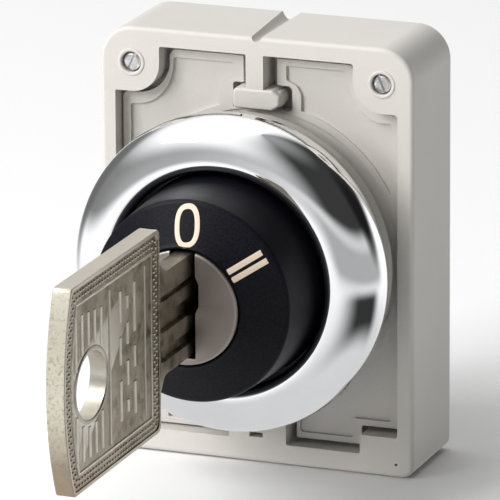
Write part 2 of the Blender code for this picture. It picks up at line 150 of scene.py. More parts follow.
# ------------------------------------------------------------------ materials
def plastic(name, rgb, rough, grain, grain_scale, vary=0.03, **kw):
    """Moulded plastic: spark-eroded grain, faint cloudiness in tone and gloss."""
    m = new_mat(name, rgb, rough, **kw)
    v = coords(m)
    cloud = noise(m, v, 130, 4)
    fine = noise(m, v, grain_scale, 2, 0.6)
    lo = tuple(max(0.0, c * (1 - vary)) for c in rgb)
    hi = tuple(min(1.0, c * (1 + vary)) for c in rgb)
    col = ramp(m, cloud, [(0.3, lo), (0.7, hi)])
    speck = ramp(m, fine, [(0.25, (0.93, 0.93, 0.93)), (0.75, (1.0, 1.0, 1.0))])
    set_in(m, "Base Color", mix(m, 1.0, col, speck, "MULTIPLY"))
    set_in(m, "Roughness", mrange(m, fine, 0.3, 0.7, rough - 0.06, rough + 0.07))
    n1 = bump(m, cloud, 0.10, 0.0002)
    set_in(m, "Normal", bump(m, fine, grain, 0.00003, n1))
    return m


HOUSING = plastic("mat_housing_grey", (0.640, 0.615, 0.575), 0.46, 0.30, 6500, 0.015)
INNER = plastic("mat_inner_grey", (0.40, 0.385, 0.36), 0.5, 0.35, 5200, 0.05)
SEAL = plastic("mat_seal_rubber", (0.40, 0.385, 0.35), 0.62, 0.35, 4200, 0.05)
NECK = plastic("mat_neck_black", (0.030, 0.030, 0.032), 0.5, 0.35, 4800, 0.10)
LEGEND = plastic("mat_legend_cream", (0.80, 0.66, 0.53), 0.55, 0.20, 9000, 0.03)


def dial_material():
    m = new_mat("mat_dial_black", (0.004, 0.004, 0.006), 0.44, Specular_IOR_Level=0.17)
    v = coords(m)
    grain = noise(m, v, 5200, 2, 0.65)
    cloud = noise(m, v, 260, 3)
    col = ramp(m, grain, [(0.30, (0.0015, 0.0015, 0.003)), (0.72, (0.0085, 0.0085, 0.0140))])
    set_in(m, "Base Color", col)
    set_in(m, "Roughness", mrange(m, cloud, 0.3, 0.7, 0.40, 0.48))
    n = bump(m, cloud, 0.06, 0.0002)
    set_in(m, "Normal", bump(m, grain, 0.42, 0.00004, n))
    return m


DIAL = dial_material()


def chrome_material():
    m = new_mat("mat_chrome", (0.90, 0.905, 0.92), 0.045, 1.0)
    v = coords(m)
    haze = noise(m, v, 170, 4, 0.6)
    micro = noise(m, v, 2600, 2)
    set_in(m, "Roughness", mrange(m, haze, 0.35, 0.75, 0.035, 0.085))
    set_in(m, "Base Color", ramp(m, haze, [(0.3, (0.87, 0.875, 0.89)), (0.7, (0.93, 0.935, 0.945))]))
    set_in(m, "Normal", bump(m, micro, 0.012, 0.00002))
    return m


CHROME = chrome_material()


def key_material():
    """Nickel silver, coined, tarnished in the hollows and polished on the ridges."""
    m = new_mat("mat_key_metal", (0.50, 0.46, 0.38), 0.34, 1.0)
    v = coords(m)
    stain = noise(m, v, 210, 5, 0.62, 0.4)
    mottle = noise(m, v, 900, 4, 0.6)
    grit = noise(m, v, 4200, 3, 0.6)
    base = ramp(m, stain, [(0.28, (0.270, 0.228, 0.175)), (0.50, (0.390, 0.350, 0.275)), (0.74, (0.520, 0.480, 0.390))])
    mot = ramp(m, mottle, [(0.32, (0.46, 0.41, 0.35)), (0.52, (0.90, 0.88, 0.84)), (0.70, (1.0, 1.0, 1.0))])
    col = mix(m, 1.0, base, mot, "MULTIPLY")
    wear = edge_wear_and_highlight(m, 0.05)
    col = mix(m, wear, col, (0.66, 0.62, 0.54))
    # warmer, darker brown tone low at the front of the bow
    t = node(m, "ShaderNodeTexCoord")
    s = node(m, "ShaderNodeSeparateXYZ")
    link(m, t.outputs["Object"], s.inputs["Vector"])
    low = mrange(m, s.outputs["Z"], -0.0065, -0.0100, 0.0, 1.0, True)
    fwd = mrange(m, s.outputs["Y"], -0.034, -0.046, 0.0, 1.0, True)
    mul = node(m, "ShaderNodeMath", operation="MULTIPLY")
    link(m, low, mul.inputs[0]); link(m, fwd, mul.inputs[1])
    mul2 = node(m, "ShaderNodeMath", operation="MULTIPLY")
    link(m, mul.outputs[0], mul2.inputs[0])
    link(m, mrange(m, stain, 0.35, 0.65, 0.25, 0.75), mul2.inputs[1])
    col = mix(m, mul2.outputs[0], col, (0.36, 0.22, 0.17))
    set_in(m, "Base Color", col)
    set_in(m, "Roughness", mrange(m, mottle, 0.30, 0.72, 0.30, 0.50))
    n = bump(m, mottle, 0.42, 0.00006)
    set_in(m, "Normal", bump(m, grit, 0.45, 0.00003, n))
    return m


KEYM = key_material()


def key_end_material():
    """The bow's front edge, rubbed bright: cream metal with fine pits, browner low down."""
    m = new_mat("mat_key_end", (0.86, 0.82, 0.68), 0.42, 1.0)
    v = coords(m)
    pits = noise(m, v, 3300, 4, 0.65)
    tone = noise(m, v, 420, 3)
    col = ramp(m, pits, [(0.32, (0.60, 0.52, 0.38)), (0.48, (0.88, 0.84, 0.70)), (0.8, (0.95, 0.92, 0.80))])
    t = node(m, "ShaderNodeTexCoord")
    s = node(m, "ShaderNodeSeparateXYZ")
    link(m, t.outputs["Object"], s.inputs["Vector"])
    low = mrange(m, s.outputs["Z"], 0.0, -0.0085, 0.0, 1.0, True)
    warm = ramp(m, tone, [(0.3, (0.42, 0.33, 0.24)), (0.7, (0.56, 0.46, 0.34))])
    col = mix(m, low, col, warm)
    set_in(m, "Base Color", col)
    set_in(m, "Roughness", mrange(m, pits, 0.3, 0.7, 0.55, 0.40))
    set_in(m, "Normal", bump(m, pits, 0.30, 0.00004))
    return m


KEY_END = key_end_material()


def turned_metal(name, rgb, rough, ring=True, warm=0.05):
    """A turned face: fine concentric tool marks, a little staining, and convex edges painted lighter as a highlight."""
    m = new_mat(name, rgb, rough, 1.0)
    v = coords(m)
    stain = noise(m, v, 320, 4, 0.6)
    grit = noise(m, v, 3800, 2)
    lo = tuple(c * (1 - warm * 2) for c in rgb)
    hi = tuple(min(1.0, c * (1 + warm)) for c in rgb)
    col = ramp(m, stain, [(0.3, lo), (0.7, hi)])
    # painted highlight: convex edges and chamfers lightened 1.7 times, standing in for their glint
    col = mix(m, edge_wear_and_highlight(m, 0.06), col, tuple(min(1.0, c * 1.7) for c in rgb))
    set_in(m, "Base Color", col)
    set_in(m, "Roughness", mrange(m, stain, 0.3, 0.7, rough - 0.05, rough + 0.07))
    n = bump(m, grit, 0.16, 0.00002)
    if ring:
        t = node(m, "ShaderNodeTexCoord")
        w = node(m, "ShaderNodeTexWave", wave_type="RINGS", rings_direction="Y")
        w.inputs["Scale"].default_value = 900
        w.inputs["Distortion"].default_value = 0.6
        link(m, t.outputs["Object"], w.inputs["Vector"])
        n = bump(m, w.outputs["Fac"], 0.05, 0.00002, n)
    set_in(m, "Normal", n)
    return m


PLUGM = turned_metal("mat_plug_metal", (0.300, 0.265, 0.248), 0.42)
STEEL = turned_metal("mat_steel", (0.56, 0.56, 0.57), 0.30, False)
BRASS = turned_metal("mat_brass", (0.66, 0.50, 0.26), 0.34, False)

SLOT_MAT = {"housing_grey": HOUSING, "inner_grey": INNER, "seal_rubber": SEAL, "dial_black": DIAL, "neck_black": NECK,
            "chrome": CHROME, "key_metal": KEYM, "plug_metal": PLUGM, "brass": BRASS, "steel": STEEL}
NODE_SLOT = {
    "housing": "housing_grey", "latch_plate": "housing_grey", "rear_cover": "inner_grey", "neck_body": "neck_black",
    "panel_gasket": "seal_rubber", "bezel": "chrome", "dial_insert": "dial_black", "dial_seal": "seal_rubber",
    "lock_barrel": "brass", "lock_plug": "plug_metal", "plug_clip": "steel", "drive_cam": "inner_grey", "key": "key_metal",
}
for name, o in NODES.items():
    slot = NODE_SLOT.get(name)
    if slot is None:
        slot = ("steel" if "screw" in name and "insert" not in name else "brass" if "insert" in name or name.startswith("key_pin")
                else "inner_grey" if name in ("plunger_left", "plunger_right") else "steel")
    o.data.materials.clear()
    o.data.materials.append(SLOT_MAT[slot])


# ------------------------------------------------------------------ mesh helpers
def P(x, f, z):
    return Vector((x * MM, -f * MM, z * MM))


def to_object(bm, name, mat, angle=38, weighted=True):
    bmesh.ops.recalc_face_normals(bm, faces=bm.faces)
    me = bpy.data.meshes.new(name)
    bm.to_mesh(me)
    bm.free()
    o = bpy.data.objects.new(name, me)
    C.objects.link(o)
    me.materials.append(mat)
    me.shade_smooth()
    me.set_sharp_from_angle(angle=math.radians(angle))
    if weighted:
        w = o.modifiers.new("weighted", "WEIGHTED_NORMAL")
        w.keep_sharp = True
        w.weight = 60
    return o


def piece(o, body, slot, *replaced):
    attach(o, body)
    if replaced:
        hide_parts(*replaced)
    return o


def arc(cx, cz, r, a0, a1, n, rz=None):
    rz = r if rz is None else rz
    return [(cx + r * math.cos(math.radians(a0 + (a1 - a0) * i / n)),
             cz + rz * math.sin(math.radians(a0 + (a1 - a0) * i / n))) for i in range(n + 1)]


def fillet(pts, default=0.0, n=6):
    """Rounds the corners of a closed polygon; a point is (x, z) or (x, z, radius)."""
    out = []
    m = len(pts)
    for i in range(m):
        p = pts[i]
        r = p[2] if len(p) > 2 else default
        a = Vector(pts[i - 1][:2]); b = Vector(p[:2]); c = Vector(pts[(i + 1) % m][:2])
        u, w = (a - b), (c - b)
        if r <= 0 or u.length < 1e-6 or w.length < 1e-6:
            out.append(tuple(b)); continue
        u.normalize(); w.normalize()
        cosang = max(-1, min(1, u.dot(w)))
        half = math.acos(cosang) / 2
        if half > math.radians(86):
            out.append(tuple(b)); continue
        t = r / math.tan(half)
        lim = 0.49 * min((a - b).length, (c - b).length)
        if t > lim:
            t = lim; r = t * math.tan(half)
        p0, p1 = b + u * t, b + w * t
        centre = b + (u + w).normalized() * (r / math.sin(half))
        a0 = math.atan2(p0.y - centre.y, p0.x - centre.x)
        a1 = math.atan2(p1.y - centre.y, p1.x - centre.x)
        d = (a1 - a0 + math.pi) % (2 * math.pi) - math.pi
        for k in range(n + 1):
            q = a0 + d * k / n
            out.append((centre.x + r * math.cos(q), centre.y + r * math.sin(q)))
    return out


def prism_bm(loops, f0, f1, frame_m=None):
    """A flat outline (first loop) with holes (the rest), from f0 to f1, as a closed bmesh."""
    cu = bpy.data.curves.new("tmp", "CURVE")
    cu.dimensions = "2D"
    cu.fill_mode = "BOTH"
    cu.extrude = abs(f1 - f0) / 2 * MM
    for loop in loops:
        sp = cu.splines.new("POLY")
        sp.points.add(len(loop) - 1)
        for p, (x, z) in zip(sp.points, loop):
            p.co = (x * MM, z * MM, 0, 1)
        sp.use_cyclic_u = True
    tmp = bpy.data.objects.new("tmp", cu)
    C.objects.link(tmp)
    bpy.context.view_layer.update()
    dg = bpy.context.evaluated_depsgraph_get()
    me = bpy.data.meshes.new_from_object(tmp.evaluated_get(dg))
    bpy.data.objects.remove(tmp, do_unlink=True)
    bm = bmesh.new()
    bm.from_mesh(me)
    bpy.data.meshes.remove(me)
    bmesh.ops.remove_doubles(bm, verts=bm.verts, dist=1e-7)
    bmesh.ops.dissolve_limit(bm, angle_limit=0.004, use_dissolve_boundaries=False, verts=bm.verts, edges=bm.edges)
    if frame_m is None:
        frame_m = Matrix.Rotation(math.radians(90), 4, "X") @ Matrix.Translation((0, 0, (f0 + f1) / 2 * MM))
    bmesh.ops.transform(bm, matrix=frame_m, verts=bm.verts)
    bmesh.ops.recalc_face_normals(bm, faces=bm.faces)
    return bm


def bevel(bm, pick, width, segments):
    """Rounds the edges for which pick(a, b) is true; a and b are (x, f, z) in millimetres."""
    def mmv(v):
        return (v.co.x / MM, -v.co.y / MM, v.co.z / MM)
    es = [e for e in bm.edges if len(e.link_faces) == 2 and e.calc_face_angle(0) > 0.35 and pick(mmv(e.verts[0]), mmv(e.verts[1]))]
    if es:
        bmesh.ops.bevel(bm, geom=es, offset=width * MM, offset_type="OFFSET", segments=segments, profile=0.5,
                        affect="EDGES", clamp_overlap=True)


def plate_front(bm, f, width, segments=3, inside=None):
    bevel(bm, lambda a, b: abs(a[1] - f) < 1e-3 and abs(b[1] - f) < 1e-3 and (inside is None or (inside(a) and inside(b))), width, segments)


def apply_bool(o, other, op="DIFFERENCE"):
    """Cuts (or joins) at once, and removes the other object."""
    m = o.modifiers.new("b", "BOOLEAN")
    m.operation = op
    m.object = other
    m.solver = "EXACT"
    for x in (o, other):
        for mod in list(x.modifiers):
            if mod.type == "WEIGHTED_NORMAL":
                x.modifiers.remove(mod)
    bpy.context.view_layer.update()
    dg = bpy.context.evaluated_depsgraph_get()
    me = bpy.data.meshes.new_from_object(o.evaluated_get(dg))
    o.modifiers.clear()
    old = o.data
    o.data = me
    bpy.data.meshes.remove(old)
    mats = me.materials
    while len(mats) > 1:
        mats.pop(index=len(mats) - 1)
    for p in me.polygons:
        p.material_index = 0
    bpy.data.objects.remove(other, do_unlink=True)
    return o


def tidy(o, angle=38):
    o.data.shade_smooth()
    o.data.set_sharp_from_angle(angle=math.radians(angle))
    w = o.modifiers.new("weighted", "WEIGHTED_NORMAL")
    w.keep_sharp = True
    w.weight = 60
    return o


def join(name, objs):
    """Several meshes as one object, each a separate shell."""
    bm = bmesh.new()
    for o in objs:
        tmp = bmesh.new()
        tmp.from_mesh(o.data)
        tmp.transform(o.matrix_world)
        me = bpy.data.meshes.new("t")
        tmp.to_mesh(me)
        tmp.free()
        bm.from_mesh(me)
        bpy.data.meshes.remove(me)
    me = bpy.data.meshes.new(name)
    bm.to_mesh(me)
    bm.free()
    me.materials.append(objs[0].data.materials[0])
    out = bpy.data.objects.new(name, me)
    C.objects.link(out)
    for o in objs:
        bpy.data.objects.remove(o, do_unlink=True)
    return tidy(out)


def lathe_bm(prof, steps=192, cx=0.0, cz=0.0, a0=0.0):
    """A turned shape about the f axis through (cx, cz); prof is a closed (r, f) polygon, r may be 0."""
    bm = bmesh.new()
    rings = []
    for r, f in prof:
        if r < 1e-6:
            rings.append([bm.verts.new(P(cx, f, cz))])
        else:
            rings.append([bm.verts.new(P(cx + r * math.cos(2 * math.pi * i / steps + a0), f, cz + r * math.sin(2 * math.pi * i / steps + a0)))
                          for i in range(steps)])
    n = len(rings)
    for k in range(n):
        a, b = rings[k], rings[(k + 1) % n]
        if len(a) == 1 and len(b) == 1:
            continue
        for i in range(steps):
            j = (i + 1) % steps
            if len(a) == 1:
                bm.faces.new((a[0], b[j], b[i]))
            elif len(b) == 1:
                bm.faces.new((a[i], a[j], b[0]))
            else:
                bm.faces.new((a[i], a[j], b[j], b[i]))
    return bm


def bez(p0, c0, c1, p1, n=12):
    out = []
    for i in range(n):
        t = i / n
        u = 1 - t
        out.append(tuple(u ** 3 * p0[k] + 3 * u * u * t * c0[k] + 3 * u * t * t * c1[k] + t ** 3 * p1[k] for k in range(2)))
    return out


def rounded_rect(x0, x1, z0, z1, rt, rb, n=14):
    return (arc(x1 - rt, z1 - rt, rt, 0, 90, n) + arc(x0 + rt, z1 - rt, rt, 90, 180, n)
            + arc(x0 + rb, z0 + rb, rb, 180, 270, n // 2) + arc(x1 - rb, z0 + rb, rb, 270, 360, n // 2))


def block(lo, hi, turn=0.0, mat=None, width=0.0, seg=2):
    """A cutter block or small block with rounded edges; corners are (x, f, z)."""
    bm = bmesh.new()
    bmesh.ops.create_cube(bm, size=1.0)
    a, b = P(*lo), P(*hi)
    d = Vector((abs(b.x - a.x), abs(b.y - a.y), abs(b.z - a.z)))
    bmesh.ops.scale(bm, vec=d, verts=bm.verts)
    bmesh.ops.translate(bm, vec=(a + b) / 2, verts=bm.verts)
    if turn:
        c = (a + b) / 2
        bmesh.ops.rotate(bm, cent=c, matrix=Matrix.Rotation(math.radians(turn), 3, "Y"), verts=bm.verts)
    if width:
        bmesh.ops.bevel(bm, geom=list(bm.edges), offset=width * MM, segments=seg, profile=0.5, affect="EDGES")
    return to_object(bm, "block", mat or HOUSING, weighted=False)


# ------------------------------------------------------------------ housing
BX, BZ, BR = 12.0, 16.8, 2.7
RIM_L, RIM_R, RIM_T, RIM_BL, RIM_BR = -13.6, 13.5, 18.45, -17.65, -17.9
STEP_X, STEP_Z = 9.9, -16.1


def opening():
    """The pocket inside the rim: bosses at the top, T hook, tongue and raised corner."""
    p = [(RIM_L, RIM_BL, 0.35), (RIM_L, BZ - BR, 0.15)]
    p += [(x, z, 0) for x, z in arc(-BX, BZ, BR, 270, 360, 14)]
    p += [(-BX + BR, RIM_T, 0.2)]
    p += [(-0.95, RIM_T, 0.12), (-0.95, 15.0, 0.0), (-1.9, 15.0, 0.0), (-1.9, 13.75, 0.0), (1.6, 13.75, 0.0), (1.6, 15.0, 0.0),
          (0.72, 15.0, 0.0), (0.72, RIM_T, 0.12)]
    p += [(BX - BR, RIM_T, 0.3)]
    p += [(x, z, 0) for x, z in arc(BX, BZ, BR, 180, 270, 14)]
    p += [(RIM_R, BZ - BR, 0.35), (RIM_R, STEP_Z, 0.25), (STEP_X, STEP_Z, 0.15), (STEP_X, RIM_BR, 0.2)]
    p += [(2.75, RIM_BR, 0.15), (2.75, -15.6, 0.25), (-2.8, -15.6, 0.25), (-2.8, RIM_BL, 0.15)]
    return fillet(p, 0.0, 5)


OUT = rounded_rect(-15.0, 15.0, -19.8, 20.1, 3.1, 1.1)
bm = prism_bm([OUT, opening()], 0, -10.2)
near_out = lambda v: abs(v[0]) > 14.99 or v[2] > 20.09 or v[2] < -19.79 or (
    abs(v[0]) > 11.8 and v[2] > 16.9 and math.hypot(abs(v[0]) - 11.9, v[2] - 17.0) > 3.0) or (
    abs(v[0]) > 13.8 and v[2] < -18.6 and math.hypot(abs(v[0]) - 13.9, v[2] + 18.7) > 1.05)
plate_front(bm, 0, 0.42, 5, near_out)
plate_front(bm, -10.2, 0.25, 3, near_out)
plate_front(bm, 0, 0.13, 3, lambda v: not near_out(v))
shell = to_object(bm, "housing_shell", HOUSING, weighted=False)
# rear seat for the cover, clamp bores, groove, a slot and a small hole
bm = prism_bm([rounded_rect(-13.8, 13.8, -18.6, 18.9, 2.0, 0.6, 8)], -8.85, -11)
apply_bool(shell, to_object(bm, "c", HOUSING, weighted=False))
for s in (-1, 1):
    prof = [(0, 1), (0.95, 1), (0.95, -1.25), (1.45, -1.25), (1.45, -2.9), (2.12, -2.9), (2.12, -12), (0, -12)]
    apply_bool(shell, to_object(lathe_bm(prof, 48, s * BX, BZ), "c", HOUSING, weighted=False))
# tapering groove along the top face
bm = bmesh.new()
bmesh.ops.create_cone(bm, cap_ends=True, segments=40, radius1=0.42 * MM, radius2=0.98 * MM, depth=12.4 * MM)
q = Vector((-0.4, 12.4, 0.06)).to_track_quat("Z", "Y").to_matrix().to_4x4()
bmesh.ops.transform(bm, matrix=Matrix.Translation(Vector((-0.1, 5.1, 20.14)) * MM) @ q, verts=bm.verts)
apply_bool(shell, to_object(bm, "c", HOUSING, weighted=False))
apply_bool(shell, block((-0.8, 1, -17.42), (0.5, -1.3, -16.98)))
apply_bool(shell, to_object(lathe_bm([(0, 1), (0.14, 1), (0.14, -0.8), (0, -0.8)], 20, 13.39, -18.59), "c", HOUSING, weighted=False))

# web behind the plate, closing the pocket
bm = prism_bm([rounded_rect(-14.3, 14.3, -19.0, 19.3, 2.4, 0.6, 6), arc(0, 0, 11.4, 0, 360, 96)[:-1]], -3.0, -4.2)
web = to_object(bm, "web", HOUSING, weighted=False)

# T hook bar: a rounded bar with a cut-back right end
bm = prism_bm([fillet([(-2.18, 13.42, 0.42), (1.55, 13.42, 0.25), (2.3, 13.9, 0.35), (2.3, 14.75, 0.4), (1.6, 15.3, 0.3), (-2.18, 15.3, 0.42)], 0.3, 7)], 0.12, -2.3)
plate_front(bm, 0.12, 0.38, 5)
bar = to_object(bm, "bar", HOUSING, weighted=False)
# low front ramp on the right of the hook's bar
shade = block((1.25, -0.55, 13.6), (2.22, -2.2, 15.1), width=0.3, seg=4)

# soft raised ring round each clamp screw
rings = []
for s in (-1, 1):
    prof = [(0.97, -0.9), (0.97, 0.00)] + [(1.13 + 0.16 * math.cos(math.radians(a)), 0.0 + 0.10 * math.sin(math.radians(a))) for a in range(180, -1, -15)] + [(1.62, -0.03), (1.62, -0.9)]
    rings.append(to_object(lathe_bm(prof, 72, s * BX, BZ), "ring", HOUSING, weighted=False))

housing = join("housing_fine", [shell, web, bar, shade] + rings)
piece(housing, "body", "housing_grey", "housing")

# ------------------------------------------------------------------ latch plate
PF, PANEL = -1.5, -1.82


def plate_outline():
    p = [(-13.45, -17.45, 0.3), (-13.45, 13.62, 0.55)]
    p += [(x, z, 0) for x, z in arc(-BX, BZ, 3.14, 276, 350, 14)]
    p += [(-8.85, 17.93, 0.75), (-1.72, 17.93, 0.12), (-1.72, 15.45, 0.1), (-2.75, 15.45, 0.25), (-2.75, 13.1, 0.2), (2.95, 13.1, 0.3),
          (2.95, 15.45, 0.45), (1.50, 15.45, 0.1), (1.50, 17.93, 0.12), (8.72, 17.93, 0.4)]
    p += [(x, z, 0) for x, z in arc(BX, BZ, 3.14, 190, 264, 14)]
    p += [(13.3, 13.62, 0.4), (13.3, -15.68, 0.25), (9.55, -15.68, 0.2), (9.55, -17.5, 0.2), (3.25, -17.5, 0.2), (3.25, -15.1, 0.2),
          (-3.2, -15.1, 0.2), (-3.2, -17.45, 0.2)]
    return fillet(p, 0.0, 6)


def circle_cut(x0, x1, r, n=14, top=True):
    """Points of the circle of radius r between x0 and x1, on the upper or lower side."""
    out = []
    for i in range(n + 1):
        x = x0 + (x1 - x0) * i / n
        z = math.sqrt(max(0.0, r * r - x * x))
        out.append((x, z if top else -z, 0))
    return out


LAND = 13.75
tl = [(-12.72, math.sqrt(LAND ** 2 - 12.72 ** 2), 0.1), (-12.72, 12.55, 0.35), (-11.6, 12.62, 0)]
tl += [(x, z, 0) for x, z in arc(-12.05, 16.8, 3.55, 284, 352, 12, 4.18)]
tl += [(-8.5, 17.2, 0.3), (-2.75, 17.2, 0.12), (-2.75, 16.15, 0.3), (-3.75, 15.6, 0.45), (-4.1, 14.2, 0.2)]
tl += circle_cut(-4.1, -12.72, LAND)[0:-1]
tr = [(12.40, math.sqrt(LAND ** 2 - 12.4 ** 2), 0.1)] + circle_cut(12.4, 3.78, LAND)[1:]
tr += [(3.78, 14.75, 0.3), (3.4, 15.5, 0.4), (2.36, 16.0, 0.3), (2.36, 17.33, 0.12), (8.02, 17.33, 0.3)]
tr += [(x, z, 0) for x, z in arc(12.0, 16.8, 3.75, 190, 258, 12, 4.08)]
tr += [(12.40, 12.78, 0.3)]
br = [(12.37, -math.sqrt(LAND ** 2 - 12.37 ** 2), 0.1), (12.37, -15.1, 0.3), (8.72, -15.1, 0.25), (8.72, -16.95, 0.25), (3.6, -16.95, 0.25)]
br += circle_cut(3.6, 12.37, LAND, top=False)[0:-1]
bl = [(-12.72, -math.sqrt(LAND ** 2 - 12.72 ** 2), 0.1)] + circle_cut(-12.72, -3.5, LAND, top=False)[1:]
bl += [(-3.5, -16.9, 0.25), (-9.35, -16.9, 0.2), (-9.35, -16.0, 0.2), (-12.72, -16.0, 0.3)]
panels = [fillet(q, 0.0, 5) for q in (tl, tr, br, bl)]

bm = prism_bm([plate_outline(), arc(0, 0, 13.12, 0, 360, 144)[:-1]] + panels, PF, PF - 0.55)
plate_front(bm, PF, 0.20, 4)
band = to_object(bm, "band", HOUSING, weighted=False)
bm = prism_bm([plate_outline(), arc(0, 0, 11.4, 0, 360, 120)[:-1]], PANEL, -2.8)
sheet = to_object(bm, "sheet", HOUSING, weighted=False)
# low fillet ring inside the land
prof = [(13.3, -1.72), (12.8, -1.66), (12.2, -1.68), (11.9, -1.78), (11.9, -2.4), (13.3, -2.4)]
land = to_object(lathe_bm(prof, 160), "land", HOUSING, weighted=False)
plate = join("latch_plate_fine", [band, sheet, land])
piece(plate, "body", "housing_grey", "latch_plate")

# ------------------------------------------------------------------ clamp screws
for s, side in ((-1, "left"), (1, "right")):
    prof = [(0, -0.10), (0.30, -0.07), (0.55, -0.06), (0.70, -0.10), (0.80, -0.20), (0.84, -0.34), (0.84, -3.0), (1.25, -3.4), (1.25, -7.6),
            (1.82, -7.6), (1.9, -7.7), (1.9, -8.7), (1.8, -8.8), (0, -8.8)]
    o = to_object(lathe_bm(prof, 56, s * BX, BZ), "clamp_screw_fine_" + side, STEEL, 50, weighted=False)
    apply_bool(o, block((s * BX - 0.13, 0.4, BZ - 1.2), (s * BX + 0.13, -0.42, BZ + 1.2), turn=-24 * s))
    apply_bool(o, block((s * BX - 2.4, -8.2, BZ - 0.25), (s * BX + 2.4, -9.6, BZ + 0.25)))
    tidy(o, 40)
    piece(o, "clamp_" + side, "steel", "clamp_screw_" + side)

# ------------------------------------------------------------------ front ring, gasket
prof = bez((9.97, 8.9), (9.98, 9.5), (10.2, 10.15), (10.8, 10.15), 22)
prof += bez((10.8, 10.15), (12.7, 10.1), (14.7, 8.7), (14.7, 6.55), 34)
prof += bez((14.7, 6.55), (14.7, 5.4), (14.3, 4.3), (13.75, 3.5), 14)
prof += [(13.75, 3.5), (13.45, 3.5), (13.6, 6.2), (12.3, 8.6), (11.2, 8.7), (10.6, 8.0), (9.97, 8.0)]
ring = to_object(lathe_bm(prof, 288), "bezel_fine", CHROME, 50, weighted=False)
piece(ring, "body", "chrome", "bezel")

prof = [(11.25, 1.3), (13.25, 1.3)] + bez((13.25, 1.3), (13.5, 1.3), (13.6, 1.4), (13.6, 1.65), 5) + [(13.6, 1.65), (13.6, 2.35)]
prof += bez((13.6, 2.35), (13.6, 2.75), (13.45, 2.95), (13.1, 2.95), 6) + [(13.1, 2.95), (12.8, 2.95), (12.8, 2.75), (12.4, 2.75), (12.4, 2.95), (11.25, 2.95)]
gasket = to_object(lathe_bm(prof, 200), "panel_gasket_fine", SEAL, 40, weighted=False)
piece(gasket, "body", "seal_rubber", "panel_gasket")

# ------------------------------------------------------------------ dial
CONE = ((5.45, 18.15), (9.02, 16.26))


def cone_f(r):
    (r0, f0), (r1, f1) = CONE
    return f0 + (r - r0) * (f1 - f0) / (r1 - r0)


prof = [(5.33, 18.02)] + [(5.40, 18.13)] + [(5.52, 18.15)] + [(5.65, cone_f(5.65))]
prof += [(5.65 + (8.95 - 5.65) * i / 12, cone_f(5.65 + (8.95 - 5.65) * i / 12)) for i in range(1, 13)]
prof += bez((8.95, cone_f(8.95)), (9.12, cone_f(9.12)), (9.27, 16.06), (9.29, 15.86), 7)
prof += [(9.29, 15.86), (9.36, 14.4), (9.44, 12.6), (9.52, 10.9), (9.6, 9.4), (9.6, 5.7), (9.03, 5.7), (9.03, 4.3), (9.6, 4.3),
         (9.6, -2.95), (8.13, -2.95), (8.13, 15.4), (5.33, 15.4)]
dial = to_object(lathe_bm(prof, 224), "dial_insert_fine", DIAL, 34, weighted=False)
piece(dial, "body", "dial_black", "dial_insert")


def inlay(name, path, width, closed):
    """A printed mark on the dial's cone: a strip along path (x, z), of that width."""
    bm = bmesh.new()
    n = len(path)
    rows = []
    cols = 5
    for i, (x, z) in enumerate(path):
        a = Vector(path[(i - 1) % n] if closed or i > 0 else path[0])
        b = Vector(path[(i + 1) % n] if closed or i < n - 1 else path[-1])
        d = (b - a).normalized()
        side = Vector((-d.y, d.x))
        top, low = [], []
        for k in range(cols):
            t = (k / (cols - 1) - 0.5) * width
            px, pz = x + side.x * t, z + side.y * t
            f = cone_f(math.hypot(px, pz))
            h = 0.030 if 0 < k < cols - 1 else 0.012
            top.append(bm.verts.new(P(px, f + h, pz)))
            low.append(bm.verts.new(P(px, f - 0.05, pz)))
        rows.append(top + low[::-1])
    m = len(rows[0])
    last = n if closed else n - 1
    for i in range(last):
        a, b = rows[i], rows[(i + 1) % n]
        for k in range(m):
            bm.faces.new((a[k], a[(k + 1) % m], b[(k + 1) % m], b[k]))
    if not closed:
        bm.faces.new(rows[0])
        bm.faces.new(rows[-1][::-1])
    return to_object(bm, name, LEGEND, 50, weighted=False)


zero = []
tilt = math.radians(10)
for i in range(72):
    a = 2 * math.pi * i / 72
    ca, sa = math.cos(a), math.sin(a)
    u = 0.93 * math.copysign(abs(ca) ** (2 / 2.5), ca)
    v = 1.56 * math.copysign(abs(sa) ** (2 / 2.5), sa)
    zero.append((0.14 + u * math.cos(tilt) - v * math.sin(tilt), 7.24 + u * math.sin(tilt) + v * math.cos(tilt)))
marks = [inlay("mark_zero", zero, 0.44, True)]
for k, (a, b) in enumerate((((4.28, 3.62), (6.84, 5.26)), ((4.70, 2.92), (7.36, 4.58)))):
    path = [(a[0] + (b[0] - a[0]) * i / 12, a[1] + (b[1] - a[1]) * i / 12) for i in range(13)]
    marks.append(inlay("mark_two_%d" % k, path, 0.53, False))
for o in marks:
    piece(o, "body", "seal_rubber")

# ------------------------------------------------------------------ lock plug
prof = [(0, 18.36), (4.95, 18.36), (5.08, 18.345), (5.18, 18.29), (5.24, 18.20), (5.25, 18.1), (5.25, -3.05), (2.7, -3.05), (2.7, -3.3), (2.3, -3.3),
        (2.3, -3.95), (2.7, -3.95), (2.7, -6.4), (0, -6.4)]
plug = to_object(lathe_bm(prof, 160), "lock_plug_fine", PLUGM, 34, weighted=False)
# keyway: a slot open at the top, with side lands that follow the blade's grooves
way = fillet([(-1.12, -4.55, 0.15), (1.30, -4.55, 0.15), (1.30, -0.4, 0.3), (1.62, 0.3, 0.4), (1.62, 2.3, 0.4), (1.30, 3.0, 0.3), (1.30, 7.0, 0), (-1.12, 7.0, 0)], 0, 4)
apply_bool(plug, to_object(prism_bm([way], 20, -1.9), "c", PLUGM, weighted=False))
for s in (-1, 1):
    apply_bool(plug, block((min(s * 2.1, s * 4), -4.15, -4), (max(s * 2.1, s * 4), -8, 4)))
tidy(plug, 34)
piece(plug, "lock", "plug_metal", "lock_plug")

